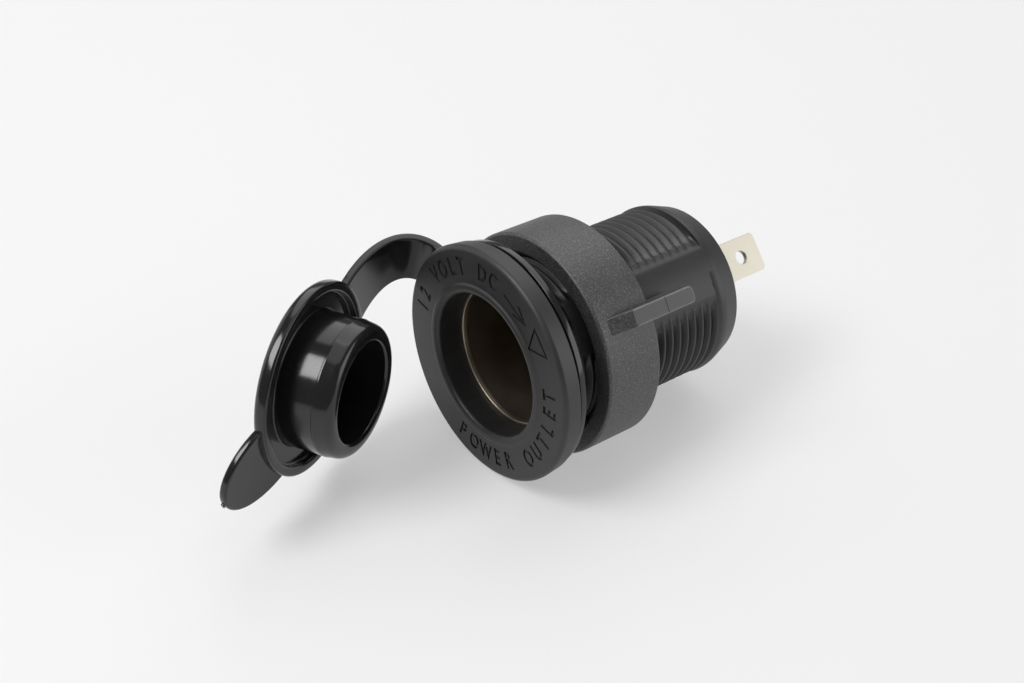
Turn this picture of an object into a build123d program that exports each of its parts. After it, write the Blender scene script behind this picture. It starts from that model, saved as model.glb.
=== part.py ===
"""Panel-mount 12 volt power socket with a rubber cap on a strap.

Millimetres. The socket's axis is Y, its mouth faces -Y and +Z is up. The origin is on the axis, in the
plane of the seat behind the bezel that clamps to a panel.
"""
import os
from math import cos, radians, sin, sqrt, tan

from build123d import *

# Plug bore and the metal cup that lines it
PLUG_BORE_R = 10.6
SHELL_WALL = 0.6
SHELL_FRONT = 1.0
SHELL_LENGTH = 30.0
SHELL_FLARE = 0.4
SHELL_FLARE_LENGTH = 2.5
SHELL_NECK = 0.3
SHELL_NECK_LENGTH = 2.8
SHELL_CLEARANCE = 0.1

# Housing: bezel, lip and barrel
HOUSING_WALL = 1.5
BEZEL_OVERHANG = 4.8
BEZEL_THICKNESS = 3.0
BEZEL_DRAFT = 0.35
BEZEL_FRONT_EDGE = 0.7
BEZEL_BACK_EDGE = 0.3
LIP_R = 0.9
LIP_RISE = 0.6
NECK_LENGTH = 3.2
REAR_ROOM = 4.4
REAR_WALL = 2.0
REAR_EDGE = 0.6
SLOT_CLEARANCE = 0.15

# Interrupted thread: grooves that run out to a plain band on each of two opposite sides
THREAD_PITCH = 1.6
THREAD_DEPTH = 1.2
THREAD_LAND = 0.85
THREAD_FLOOR = 0.2
THREAD_MARGIN = 0.1
RUNOUT_ANGLE = 40.0
BAND_ANGLE = 42.0
COLLAR_LENGTH = 3.8
COLLAR_DRAFT = 1.3
COLLAR_ROUND = 4.0

# Mounting nut and its wing bars
NUT_FRONT = 6.05
NUT_LENGTH = 10.0
NUT_WALL = 3.6
NUT_CLEARANCE = 0.2
NUT_EDGE = 0.5
NUT_RECESS_R = 0.9
NUT_RECESS_DEPTH = 0.8
WING_ANGLE = 36.6
WING_WIDTH = 2.6
WING_RISE = 2.2
WING_ROOT = 0.8
WING_RAMP_START = 1.7
WING_RAMP = 3.5
WING_TAIL = 6.85
WING_CORNER_R = 0.8
WING_EDGE = 0.25

# Contacts at the bottom of the cup
RIVET_R = 1.5
RIVET_CLEARANCE = 0.05
RIVET_HEAD_R = 2.5
RIVET_HEAD = 0.9
CONTACT_R = 4.2
CONTACT_RIM = 1.0
CONTACT_SHEET = 0.5
BUSH_R = 6.0
BUSH_FLANGE = 0.8
BUSH_SLEEVE = 1.0
WASHER_R = 5.0
WASHER_THICKNESS = 1.0
BLADE_WIDTH = 6.3
BLADE_SHEET = 0.8
BLADE_REACH = 8.9
BLADE_BEND_R = 0.5
BLADE_TIP = 0.5
BLADE_HOLE_R = 1.1
BLADE_HOLE_FROM_TIP = 4.0
POSITIVE_OFFSET = 4.6
BLADE_WALL_GAP = 0.24
FOOT_GAP = 0.6
FOOT_LAP = 0.3
NEGATIVE_RIVET_R = 0.8
NEGATIVE_RIVET_HEAD_R = 1.3
NEGATIVE_RIVET_HEAD = 0.6
NEGATIVE_RIVET_GAP = 0.3

# Rubber cap, its strap and the ring that tethers it
RING_CLEARANCE = 0.3
RING_WIDTH = 3.7
RING_FRONT = 0.9
RING_THICKNESS = 1.0
RING_EDGE = 0.35
STRAP_ANGLE = 163.0
STRAP_RING_WIDTH = 8.9
STRAP_CAP_WIDTH = 9.6
STRAP_THICKNESS = 1.4
STRAP_LUG = 0.6
STRAP_JOIN = 0.05
STRAP_PULL_RING = 13.4
STRAP_PULL_CAP = 35.6
STRAP_SECTIONS = 9
PLUG_CLEARANCE = 0.2
PLUG_LENGTH = 10.0
PLUG_HOLE_R = 7.7
PLUG_TAPER = 0.35
PLUG_TIP_R = 1.5
PLUG_MOUTH_R = 0.6
BEAD_RISE = 0.06
BEAD_START = 6.9
BEAD_LENGTH = 0.5
BEAD_RAMP = 0.15
FLANGE_THICKNESS = 2.3
FLANGE_FLOOR = 1.0
FLANGE_RIM = 1.5
FLANGE_EDGE = 0.6
RIM_EDGE = 0.4
GROOVE_CLEARANCE = 0.25
CAP_SEAT_GAP = 0.3
CAP_WEB = 1.5
TAB_ANGLE = 175.0
TAB_LEAN = 15.0
TAB_REACH = 8.0
TAB_ROOT = 0.85
TAB_WIDTH = 12.7
TAB_THICKNESS = 1.3
TAB_EDGE = 0.4
NIB_WIDTH = 0.8
NIB_REACH = 0.3
NIB_THICKNESS = 0.5

# Swing of the open cap about the bend of its strap
HINGE_OUT = 5.25
HINGE_AHEAD = 0.44
HINGE_LEAN_OUT = 2.13
HINGE_LEAN_FRONT = 1.86
OPEN_ANGLE = 61.6

# Radii that follow from the plug bore outwards
shell_r = PLUG_BORE_R + SHELL_WALL
bore_r = shell_r + SHELL_CLEARANCE
root_r = bore_r + HOUSING_WALL
crest_r = root_r + THREAD_DEPTH
bezel_r = crest_r + BEZEL_OVERHANG
nut_bore_r = crest_r + NUT_CLEARANCE
nut_r = nut_bore_r + NUT_WALL
ring_bore_r = crest_r + RING_CLEARANCE
ring_r = ring_bore_r + RING_WIDTH
lip_center_r = bore_r + LIP_R
rim_r = lip_center_r + LIP_R + GROOVE_CLEARANCE
flange_r = rim_r + FLANGE_RIM
plug_r = PLUG_BORE_R - PLUG_CLEARANCE

# Stations along the axis, from the mouth to the rear end
face = -BEZEL_THICKNESS
lip_top = face - LIP_RISE
lip_center = lip_top + LIP_R
cap_back = face - CAP_SEAT_GAP - FLANGE_THICKNESS
ring_back = RING_FRONT + RING_THICKNESS
nut_back = NUT_FRONT + NUT_LENGTH
shell_back = SHELL_FRONT + SHELL_LENGTH
shell_shoulder = shell_back - SHELL_NECK_LENGTH
shell_floor = shell_back - SHELL_WALL
bush_front = shell_floor - BUSH_FLANGE
contact_front = bush_front - CONTACT_SHEET
washer_back = shell_back + WASHER_THICKNESS
foot_back = washer_back + BLADE_SHEET
cavity_back = shell_back + REAR_ROOM
barrel_end = cavity_back + REAR_WALL
thread_start = NECK_LENGTH
thread_end = barrel_end - COLLAR_LENGTH
blade_end = barrel_end + BLADE_REACH

rivet_hole_r = RIVET_R + RIVET_CLEARANCE
sleeve_r = rivet_hole_r + BUSH_SLEEVE
sleeve_hole_r = sleeve_r + RIVET_CLEARANCE
cavity_r = bore_r - SHELL_NECK
negative_outer = sqrt(cavity_r**2 - (BLADE_WIDTH / 2) ** 2) - BLADE_WALL_GAP
negative_center = negative_outer - BLADE_SHEET / 2
negative_rivet_x = BUSH_R + NEGATIVE_RIVET_GAP + NEGATIVE_RIVET_HEAD_R
negative_foot = WASHER_R + FOOT_GAP


def direction(angle):
    """Unit direction across the socket's axis, turned from +X towards +Z."""
    return Vector(cos(radians(angle)), 0, sin(radians(angle)))


def cross_plane(y, angle=0.0):
    """Plane square to the axis at y, with its normal to the rear and its x turned by angle."""
    return Plane(origin=(0, y, 0), x_dir=direction(angle), z_dir=(0, 1, 0))


def axial_plane(angle=0.0):
    """Plane through the axis, with x outwards at angle and y along the axis."""
    return Plane(origin=(0, 0, 0), x_dir=direction(angle), z_dir=direction(angle + 90))


def corner(sketch, x, y):
    """The sketch's vertex nearest to x, y on its plane."""
    return sketch.vertices().sort_by_distance((x, y, 0))[0]


def groove_comb():
    """Outline of all the thread's grooves along the barrel, joined outside its crests."""
    outside = crest_r + THREAD_MARGIN
    floor = THREAD_FLOOR / 2
    flank = (THREAD_PITCH - THREAD_LAND) / 2 - floor
    mouth = floor + flank * (THREAD_DEPTH + THREAD_MARGIN) / THREAD_DEPTH
    middles = [
        thread_start + (groove + 0.5) * THREAD_PITCH
        for groove in range(int((thread_end - thread_start) / THREAD_PITCH))
    ]
    points = [(outside + THREAD_DEPTH, middles[0] - mouth)]
    for middle in middles:
        points += [
            (outside, middle - mouth),
            (root_r, middle - floor),
            (root_r, middle + floor),
            (outside, middle + mouth),
        ]
    return points + [(outside + THREAD_DEPTH, middles[-1] + mouth)]


# Housing: bezel with a rounded lip, barrel with its thread, closed rear end with two blade slots
with BuildPart() as socket_housing:
    lip_foot_r = lip_center_r + sqrt(LIP_R**2 - (lip_center - face) ** 2)
    with BuildSketch(axial_plane()) as profile:
        with BuildLine():
            ThreePointArc((bore_r, lip_center), (lip_center_r, lip_top), (lip_foot_r, face))
            Polyline(
                (lip_foot_r, face),
                (bezel_r, face),
                (bezel_r - BEZEL_DRAFT, 0),
                (crest_r, 0),
                (crest_r, thread_end),
                (crest_r - COLLAR_DRAFT, barrel_end),
                (0, barrel_end),
                (0, cavity_back),
                (cavity_r, cavity_back),
                (cavity_r, shell_shoulder),
                (bore_r, shell_shoulder),
                (bore_r, lip_center),
            )
        make_face()
        fillet(corner(profile, bezel_r, face), BEZEL_FRONT_EDGE)
        fillet(corner(profile, bezel_r - BEZEL_DRAFT, 0), BEZEL_BACK_EDGE)
        fillet(corner(profile, crest_r, thread_end), COLLAR_ROUND)
        fillet(corner(profile, crest_r - COLLAR_DRAFT, barrel_end), REAR_EDGE)
    revolve(axis=Axis.Y)
    runout = sqrt(crest_r**2 - root_r**2) + THREAD_DEPTH
    for half in (BAND_ANGLE, BAND_ANGLE + 180):
        first = half + RUNOUT_ANGLE
        last = half + 180 - RUNOUT_ANGLE
        with BuildSketch(axial_plane(last)):
            with BuildLine():
                Polyline(*groove_comb(), close=True)
            make_face()
        revolve(axis=Axis.Y, revolution_arc=last - first, mode=Mode.SUBTRACT)
        for angle, length in ((first, -runout), (last, runout)):
            with BuildSketch(axial_plane(angle)):
                with BuildLine():
                    Polyline(*groove_comb(), close=True)
                make_face()
            extrude(amount=length, mode=Mode.SUBTRACT)
    with BuildSketch(cross_plane(cavity_back, BAND_ANGLE)):
        with Locations((negative_center, 0), (-POSITIVE_OFFSET, 0)):
            Rectangle(BLADE_SHEET + 2 * SLOT_CLEARANCE, BLADE_WIDTH + 2 * SLOT_CLEARANCE)
    extrude(amount=REAR_WALL, mode=Mode.SUBTRACT)

# Metal cup that lines the bore, with a necked bottom whose shoulder rests on the housing's ledge
with BuildPart() as contact_shell:
    with BuildSketch(axial_plane()):
        with BuildLine():
            Polyline(
                (PLUG_BORE_R + SHELL_FLARE, SHELL_FRONT),
                (shell_r, SHELL_FRONT),
                (shell_r, shell_shoulder),
                (shell_r - SHELL_NECK, shell_shoulder),
                (shell_r - SHELL_NECK, shell_back),
                (sleeve_hole_r, shell_back),
                (sleeve_hole_r, shell_floor),
                (PLUG_BORE_R - SHELL_NECK, shell_floor),
                (PLUG_BORE_R - SHELL_NECK, shell_shoulder - SHELL_WALL),
                (PLUG_BORE_R, shell_shoulder - SHELL_WALL),
                (PLUG_BORE_R, SHELL_FRONT + SHELL_FLARE_LENGTH),
                close=True,
            )
        make_face()
    revolve(axis=Axis.Y)
    with BuildSketch(cross_plane(shell_floor, BAND_ANGLE)):
        with Locations((negative_rivet_x, 0)):
            Circle(NEGATIVE_RIVET_R + RIVET_CLEARANCE)
    extrude(amount=SHELL_WALL, mode=Mode.SUBTRACT)

# Flanged bush that keeps the centre contact and its rivet off the cup
with BuildPart() as insulator_bush:
    with BuildSketch(axial_plane()):
        with BuildLine():
            Polyline(
                (rivet_hole_r, bush_front),
                (BUSH_R, bush_front),
                (BUSH_R, shell_floor),
                (sleeve_r, shell_floor),
                (sleeve_r, shell_back),
                (rivet_hole_r, shell_back),
                close=True,
            )
        make_face()
    revolve(axis=Axis.Y)

# Dished disc that meets the plug's tip
with BuildPart() as center_contact:
    flat_r = CONTACT_R - CONTACT_RIM
    slant = CONTACT_SHEET / sqrt(2)
    with BuildSketch(axial_plane()):
        with BuildLine():
            Polyline(
                (rivet_hole_r, bush_front),
                (flat_r, bush_front),
                (CONTACT_R, bush_front - CONTACT_RIM),
                (CONTACT_R - slant, bush_front - CONTACT_RIM - slant),
                (flat_r - CONTACT_SHEET * tan(radians(22.5)), contact_front),
                (rivet_hole_r, contact_front),
                close=True,
            )
        make_face()
    revolve(axis=Axis.Y)

# Rivet through the contact, the bush, the washer and the positive blade's foot
with BuildPart() as center_rivet:
    with BuildSketch(axial_plane()):
        with BuildLine():
            Polyline(
                (0, contact_front - RIVET_HEAD),
                (RIVET_HEAD_R, contact_front - RIVET_HEAD),
                (RIVET_HEAD_R, contact_front),
                (RIVET_R, contact_front),
                (RIVET_R, foot_back),
                (RIVET_HEAD_R, foot_back),
                (RIVET_HEAD_R, foot_back + RIVET_HEAD),
                (0, foot_back + RIVET_HEAD),
                close=True,
            )
        make_face()
    revolve(axis=Axis.Y)
    fillet(center_rivet.edges().group_by(Axis.Y)[0], RIVET_HEAD / 2)
    fillet(center_rivet.edges().group_by(Axis.Y)[-1], RIVET_HEAD / 2)

# Washer between the cup and the positive blade's foot
with BuildPart() as insulator_washer:
    with BuildSketch(cross_plane(shell_back)):
        Circle(WASHER_R)
        Circle(rivet_hole_r, mode=Mode.SUBTRACT)
    extrude(amount=WASHER_THICKNESS)


def bent_blade(outer, foot_end, foot_front, rivet_x, hole_r):
    """Bent sheet blade: a foot square to the axis, drilled for its rivet, and a blade with a wire hole."""
    side = 1 if outer > 0 else -1
    inner = outer - side * BLADE_SHEET
    foot_rear = foot_front + BLADE_SHEET
    with BuildPart() as blade:
        with BuildSketch(axial_plane(BAND_ANGLE)) as bend:
            with BuildLine():
                Polyline(
                    (foot_end, foot_front),
                    (outer, foot_front),
                    (outer, blade_end),
                    (inner, blade_end),
                    (inner, foot_rear),
                    (foot_end, foot_rear),
                    close=True,
                )
            make_face()
            fillet(corner(bend, outer, foot_front), BLADE_BEND_R + BLADE_SHEET)
            fillet(corner(bend, inner, foot_rear), BLADE_BEND_R)
        extrude(amount=BLADE_WIDTH / 2, both=True)
        across = Axis((0, 0, 0), direction(BAND_ANGLE))
        chamfer(blade.edges().filter_by(across).group_by(Axis.Y)[-1], BLADE_TIP)
        with BuildSketch(cross_plane(foot_front, BAND_ANGLE)):
            with Locations((rivet_x, 0)):
                Circle(hole_r)
        extrude(amount=BLADE_SHEET, mode=Mode.SUBTRACT)
        hole_center = direction(BAND_ANGLE) * inner + Vector(0, blade_end - BLADE_HOLE_FROM_TIP, 0)
        with BuildSketch(Plane(origin=hole_center, x_dir=(0, 1, 0), z_dir=direction(BAND_ANGLE))):
            Circle(BLADE_HOLE_R)
        extrude(amount=side * BLADE_SHEET, mode=Mode.SUBTRACT)
    return blade


# Blades for push-on terminals: the positive one on the centre rivet, the negative one on the cup
positive_blade = bent_blade(
    -POSITIVE_OFFSET - BLADE_SHEET / 2,
    RIVET_HEAD_R + FOOT_LAP,
    washer_back,
    0,
    rivet_hole_r,
)
negative_blade = bent_blade(
    negative_outer,
    negative_foot,
    shell_back,
    negative_rivet_x,
    NEGATIVE_RIVET_R + RIVET_CLEARANCE,
)

# Rivet that fixes the negative blade to the cup's floor
with BuildPart() as negative_rivet:
    with BuildSketch(cross_plane(shell_floor - NEGATIVE_RIVET_HEAD, BAND_ANGLE)):
        with Locations((negative_rivet_x, 0)):
            Circle(NEGATIVE_RIVET_HEAD_R)
    extrude(amount=NEGATIVE_RIVET_HEAD)
    with BuildSketch(cross_plane(shell_floor, BAND_ANGLE)):
        with Locations((negative_rivet_x, 0)):
            Circle(NEGATIVE_RIVET_R)
    extrude(amount=SHELL_WALL + BLADE_SHEET)
    with BuildSketch(cross_plane(shell_back + BLADE_SHEET, BAND_ANGLE)):
        with Locations((negative_rivet_x, 0)):
            Circle(NEGATIVE_RIVET_HEAD_R)
    extrude(amount=NEGATIVE_RIVET_HEAD)
    fillet(negative_rivet.edges().group_by(Axis.Y)[0], NEGATIVE_RIVET_HEAD / 2)
    fillet(negative_rivet.edges().group_by(Axis.Y)[-1], NEGATIVE_RIVET_HEAD / 2)

# Wing bar of the nut: a ramp up from the nut's side, a flat top and a tail past the rear face
wing_ramp = NUT_FRONT + WING_RAMP_START
wing_front = wing_ramp + WING_RAMP
wing_back = nut_back + WING_TAIL
wing_r = nut_r + WING_RISE
wing_out = direction(WING_ANGLE)
with BuildPart() as wing:
    with BuildSketch(axial_plane(WING_ANGLE)):
        with BuildLine():
            Polyline(
                (nut_bore_r + WING_ROOT, wing_ramp),
                (nut_r, wing_ramp),
                (wing_r, wing_front),
                (wing_r, wing_back),
                (nut_bore_r + WING_ROOT, wing_back),
                close=True,
            )
        make_face()
    extrude(amount=WING_WIDTH / 2, both=True)
    fillet(wing.edges().filter_by(Axis((0, 0, 0), wing_out)).group_by(Axis.Y)[-1], WING_CORNER_R)
    top = wing.faces().sort_by_distance(wing_out * (2 * wing_r) + Vector(0, wing_back, 0))[0]
    fillet(top.edges().sort_by(Axis.Y)[1:], WING_EDGE)

# Nut: round, plain bore that clears the crests, two wings on opposite sides
with BuildPart() as mounting_nut:
    with BuildSketch(axial_plane()) as section:
        with BuildLine():
            Polyline(
                (nut_bore_r + NUT_RECESS_R, NUT_FRONT),
                (nut_r, NUT_FRONT),
                (nut_r, nut_back),
                (nut_bore_r, nut_back),
                (nut_bore_r, NUT_FRONT + NUT_RECESS_DEPTH),
                close=True,
            )
        make_face()
        fillet(corner(section, nut_r, NUT_FRONT), NUT_EDGE)
        fillet(corner(section, nut_r, nut_back), NUT_EDGE)
    revolve(axis=Axis.Y)
    add(wing.part)
    add(wing.part.rotate(Axis.Y, 180))

# Rubber ring round the barrel's neck, with the lug where the strap starts
ring_middle = (RING_FRONT + ring_back) / 2
with BuildPart() as cap_ring:
    with BuildSketch(axial_plane()) as band:
        with BuildLine():
            Polyline(
                (ring_bore_r, RING_FRONT),
                (ring_r, RING_FRONT),
                (ring_r, ring_back),
                (ring_bore_r, ring_back),
                close=True,
            )
        make_face()
        fillet(corner(band, ring_r, RING_FRONT), RING_EDGE)
        fillet(corner(band, ring_r, ring_back), RING_EDGE)
    revolve(axis=Axis.Y)
    with BuildSketch(cross_plane(ring_middle - STRAP_THICKNESS / 2, STRAP_ANGLE)):
        with Locations((ring_r + STRAP_LUG - RING_WIDTH / 2, 0)):
            Rectangle(RING_WIDTH, STRAP_RING_WIDTH)
        Circle(ring_bore_r + RING_EDGE, mode=Mode.SUBTRACT)
    extrude(amount=STRAP_THICKNESS)

# Pull tab of the shut cap: half an ellipse that leans away from the bezel, with a nib at its tip
tab_lean = radians(TAB_LEAN)
tab_out = direction(STRAP_ANGLE + TAB_ANGLE)
tab_plane = Plane(
    origin=tab_out * (flange_r - TAB_ROOT) + Vector(0, cap_back, 0),
    x_dir=tab_out * cos(tab_lean) - Vector(0, sin(tab_lean), 0),
    z_dir=tab_out * sin(tab_lean) + Vector(0, cos(tab_lean), 0),
)
with BuildPart() as tab:
    with BuildSketch(tab_plane):
        Ellipse(TAB_REACH + TAB_ROOT, TAB_WIDTH / 2)
    extrude(amount=TAB_THICKNESS)
    fillet(tab.edges().filter_by(GeomType.ELLIPSE), TAB_EDGE)
    with BuildSketch(tab_plane.offset((TAB_THICKNESS - NIB_THICKNESS) / 2)):
        with Locations((TAB_REACH + TAB_ROOT, 0)):
            Rectangle(2 * NIB_REACH, NIB_WIDTH)
    extrude(amount=NIB_THICKNESS)
    with BuildSketch(cross_plane(cap_back)):
        Circle(rim_r + FLANGE_RIM / 2)
    extrude(amount=TAB_WIDTH, both=True, mode=Mode.SUBTRACT)

# Cap as it sits shut: flange with a rim and a groove for the lip, hollow plug with a bead
with BuildPart() as shut_cap:
    plug_end = cap_back + PLUG_LENGTH
    bead_front = cap_back + BEAD_START
    bead_back = bead_front + BEAD_LENGTH
    with BuildSketch(axial_plane()) as turned:
        with BuildLine():
            Polyline(
                (0, cap_back),
                (flange_r, cap_back),
                (flange_r, cap_back + FLANGE_THICKNESS),
                (rim_r, cap_back + FLANGE_THICKNESS),
                (rim_r, cap_back + FLANGE_FLOOR),
                (plug_r, cap_back + FLANGE_FLOOR),
                (plug_r, bead_front),
                (plug_r + BEAD_RISE, bead_front + BEAD_RAMP),
                (plug_r + BEAD_RISE, bead_back - BEAD_RAMP),
                (plug_r, bead_back),
                (plug_r - PLUG_TAPER, plug_end),
                (PLUG_HOLE_R, plug_end),
                (PLUG_HOLE_R, cap_back + CAP_WEB),
                (0, cap_back + CAP_WEB),
                close=True,
            )
        make_face()
        fillet(corner(turned, flange_r, cap_back), FLANGE_EDGE)
        fillet(corner(turned, flange_r, cap_back + FLANGE_THICKNESS), RIM_EDGE)
        fillet(corner(turned, rim_r, cap_back + FLANGE_THICKNESS), RIM_EDGE)
        fillet(corner(turned, plug_r - PLUG_TAPER, plug_end), PLUG_TIP_R)
        fillet(corner(turned, PLUG_HOLE_R, plug_end), PLUG_MOUTH_R)
    revolve(axis=Axis.Y)
    add(tab.part)
    with BuildSketch(cross_plane(cap_back, STRAP_ANGLE)):
        with Locations((flange_r + STRAP_LUG - FLANGE_RIM, 0)):
            Rectangle(2 * FLANGE_RIM, STRAP_CAP_WIDTH)
        Circle(rim_r + FLANGE_RIM / 2, mode=Mode.SUBTRACT)
    extrude(amount=STRAP_THICKNESS)

# Cap swung open about the bend of its strap
hinge = Axis(
    (-bezel_r - HINGE_OUT, face - HINGE_AHEAD, 0),
    (-tan(radians(HINGE_LEAN_OUT)), -tan(radians(HINGE_LEAN_FRONT)), 1),
)
with BuildPart() as cap:
    add(shut_cap.part.rotate(hinge, -OPEN_ANGLE))


def swung(vector):
    """A direction of the shut cap, as it stands on the open cap."""
    return vector.rotate(Axis((0, 0, 0), hinge.direction), -OPEN_ANGLE)


# Strap: a flat ribbon that leaves the ring's lug outwards and curls round to the cap's lug
strap_out = direction(STRAP_ANGLE)
strap_across = direction(STRAP_ANGLE - 90)
ring_end = strap_out * (ring_r + STRAP_LUG + STRAP_JOIN) + Vector(0, ring_middle, 0)
shut_end = strap_out * (flange_r + STRAP_LUG + STRAP_JOIN) + Vector(0, cap_back + STRAP_THICKNESS / 2, 0)
cap_end = hinge.position + swung(shut_end - hinge.position)
ring_pull = strap_out * STRAP_PULL_RING
cap_pull = swung(strap_out) * -STRAP_PULL_CAP
cap_across = swung(strap_across)


def strap_plane(t):
    """Plane across the strap at t, from 0 at the ring to 1 at the cap."""
    middle = (
        ring_end * (2 * t**3 - 3 * t**2 + 1)
        + ring_pull * (t**3 - 2 * t**2 + t)
        + cap_end * (3 * t**2 - 2 * t**3)
        + cap_pull * (t**3 - t**2)
    )
    along = (
        (ring_end - cap_end) * (6 * t**2 - 6 * t)
        + ring_pull * (3 * t**2 - 4 * t + 1)
        + cap_pull * (3 * t**2 - 2 * t)
    ).normalized()
    across = strap_across * (1 - t) + cap_across * t
    across = across - along * across.dot(along)
    return Plane(origin=middle, x_dir=across, z_dir=along)


with BuildPart() as cap_strap:
    for section_index in range(STRAP_SECTIONS):
        share = section_index / (STRAP_SECTIONS - 1)
        with BuildSketch(strap_plane(share)):
            Rectangle(STRAP_RING_WIDTH * (1 - share) + STRAP_CAP_WIDTH * share, STRAP_THICKNESS)
    loft()

PIECES = {
    "socket_housing": socket_housing,
    "contact_shell": contact_shell,
    "insulator_bush": insulator_bush,
    "center_contact": center_contact,
    "center_rivet": center_rivet,
    "insulator_washer": insulator_washer,
    "positive_blade": positive_blade,
    "negative_blade": negative_blade,
    "negative_rivet": negative_rivet,
    "mounting_nut": mounting_nut,
    "cap_ring": cap_ring,
    "cap_strap": cap_strap,
    "cap": cap,
}
os.makedirs("parts", exist_ok=True)
for node, piece in PIECES.items():
    piece.part.label = node
    export_step(piece.part, f"parts/{node}.step")
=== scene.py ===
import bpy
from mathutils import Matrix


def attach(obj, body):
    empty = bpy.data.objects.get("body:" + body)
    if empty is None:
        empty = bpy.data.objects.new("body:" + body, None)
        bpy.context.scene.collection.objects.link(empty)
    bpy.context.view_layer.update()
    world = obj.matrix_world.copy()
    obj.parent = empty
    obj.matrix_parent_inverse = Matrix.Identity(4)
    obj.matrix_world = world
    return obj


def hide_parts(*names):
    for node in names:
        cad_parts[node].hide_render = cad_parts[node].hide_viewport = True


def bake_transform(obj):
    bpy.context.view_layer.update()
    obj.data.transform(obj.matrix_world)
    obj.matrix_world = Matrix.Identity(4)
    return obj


bl_info = {
    "name": "Panel Power Socket",
    "version": (1, 0, 0),
    "blender": (4, 5, 0),
    "location": "View3D > Sidebar > Socket",
    "description": "Dresses a panel-mount 12 volt socket with a tethered rubber cap around its packed frame",
    "category": "Object",
}

from math import atan2, cos, pi, radians, sin, tan, tau

import bpy
from bpy.props import FloatProperty, FloatVectorProperty, IntProperty, PointerProperty, StringProperty
from bpy.types import Operator, Panel, PropertyGroup
from mathutils import Matrix, Vector

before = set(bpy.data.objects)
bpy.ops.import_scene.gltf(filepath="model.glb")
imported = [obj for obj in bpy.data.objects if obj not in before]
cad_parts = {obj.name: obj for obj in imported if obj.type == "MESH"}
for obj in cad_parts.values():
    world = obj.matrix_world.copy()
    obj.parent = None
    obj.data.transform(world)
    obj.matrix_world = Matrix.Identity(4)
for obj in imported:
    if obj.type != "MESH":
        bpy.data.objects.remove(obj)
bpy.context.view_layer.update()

MM = 0.001
WELD = 1e-7
HAIR = 0.01 * MM
BRIDGE = 0.1 * MM
SMOOTH_ANGLE = radians(32)
SPARE_TURNS = 2
HOLE_SIDES = 48
TAB_SIDES = 96
CLOUD_DETAIL = 4
CLOUD_TONES = (0.3, 0.7)
GRAIN_DETAIL = 3
FLECK_TONES = (0.5, 0.75)
FLECK_TINT = 8
WING_GRAIN = 0.1
# Painted highlight: wing-top edge faces that face outwards within these bounds take a lighter tint
EDGE_HIGHLIGHT_FACING = (0.15, 0.97)

# Finishes: roughness, scales of the clouds and of the grain per metre, depth of the grain and more
SURFACES = {
    "housing_plastic": dict(roughness=0.48, mottle=260, grain=7000, grain_depth=0.006 * MM, shine=0.6),
    "nut_plastic": dict(roughness=0.48, mottle=220, grain=4600, grain_depth=0.06 * MM, shine=0.9, flecks=0.9),
    # The wings' top edges: glossier, with a lighter tint painted on them as their highlight
    "nut_edge_highlight": dict(roughness=0.3, mottle=220, grain=4600, grain_depth=0.01 * MM),
    "cap_rubber": dict(roughness=0.15, mottle=180, grain=3500, grain_depth=0.001 * MM, spread=0.04),
    "cup_plating": dict(roughness=0.4, mottle=120, grain=2500, grain_depth=0.004 * MM, metallic=1.0),
    "blade_nickel": dict(
        roughness=0.46, mottle=300, grain=4000, grain_depth=0.002 * MM, metallic=1.0, cloud=0.03
    ),
    "contact_brass": dict(roughness=0.28, mottle=200, grain=3000, grain_depth=0.003 * MM, metallic=1.0),
    "insulator_fibre": dict(roughness=0.6, mottle=500, grain=5000, grain_depth=0.01 * MM),
}

# Soft square lamps: name, place and width in metres, power in watts
LAMPS = (
    ("key_softbox", (-0.11, -0.49, 0.56), 0.36, 3.7),
    ("top_panel", (0.05, 0.05, 0.85), 0.6, 1.0),
    ("back_panel", (-0.40, 0.45, 0.67), 0.9, 3.8),
    ("right_panel", (0.68, 0.68, 0.24), 0.8, 4.4),
    ("left_panel", (-0.80, -0.42, 0.28), 0.9, 2.0),
)

# The camera's place in mm and its three directions
CAMERA_PLACE = (142.669, -120.650, 133.882)
CAMERA_RIGHT = (0.62491, 0.77917, 0.04870)
CAMERA_UP = (-0.47264, 0.32794, 0.81797)
CAMERA_AHEAD = (-0.62137, 0.53418, -0.57320)

# Straight marks on the bezel's face, as points of (angle in degrees, radius in mm)
ARROW_SHAFT = ((75, 15.1), (54.5, 15.0), (63.5, 16.0))
ARROW_BARB = ((54.5, 15.0), (64, 13.9))
TRIANGLE = ((49.5, 16.6), (41.8, 13.25), (34.5, 16.7), (49.5, 16.6))


def length(label, text, millimetres):
    """A length that a user may change."""
    return FloatProperty(name=label, description=text, default=millimetres * MM, unit="LENGTH", precision=5)


def angle(label, text, degrees):
    """An angle that a user may change."""
    return FloatProperty(name=label, description=text, default=radians(degrees), subtype="ANGLE")


def share(label, text, value):
    """A plain number that a user may change."""
    return FloatProperty(name=label, description=text, default=value, precision=3)


def words(label, text, value):
    """Words that a user may change."""
    return StringProperty(name=label, description=text, default=value)


def colour(label, text, value):
    """A colour that a user may change."""
    return FloatVectorProperty(name=label, description=text, default=value, subtype="COLOR", min=0, max=1)


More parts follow.
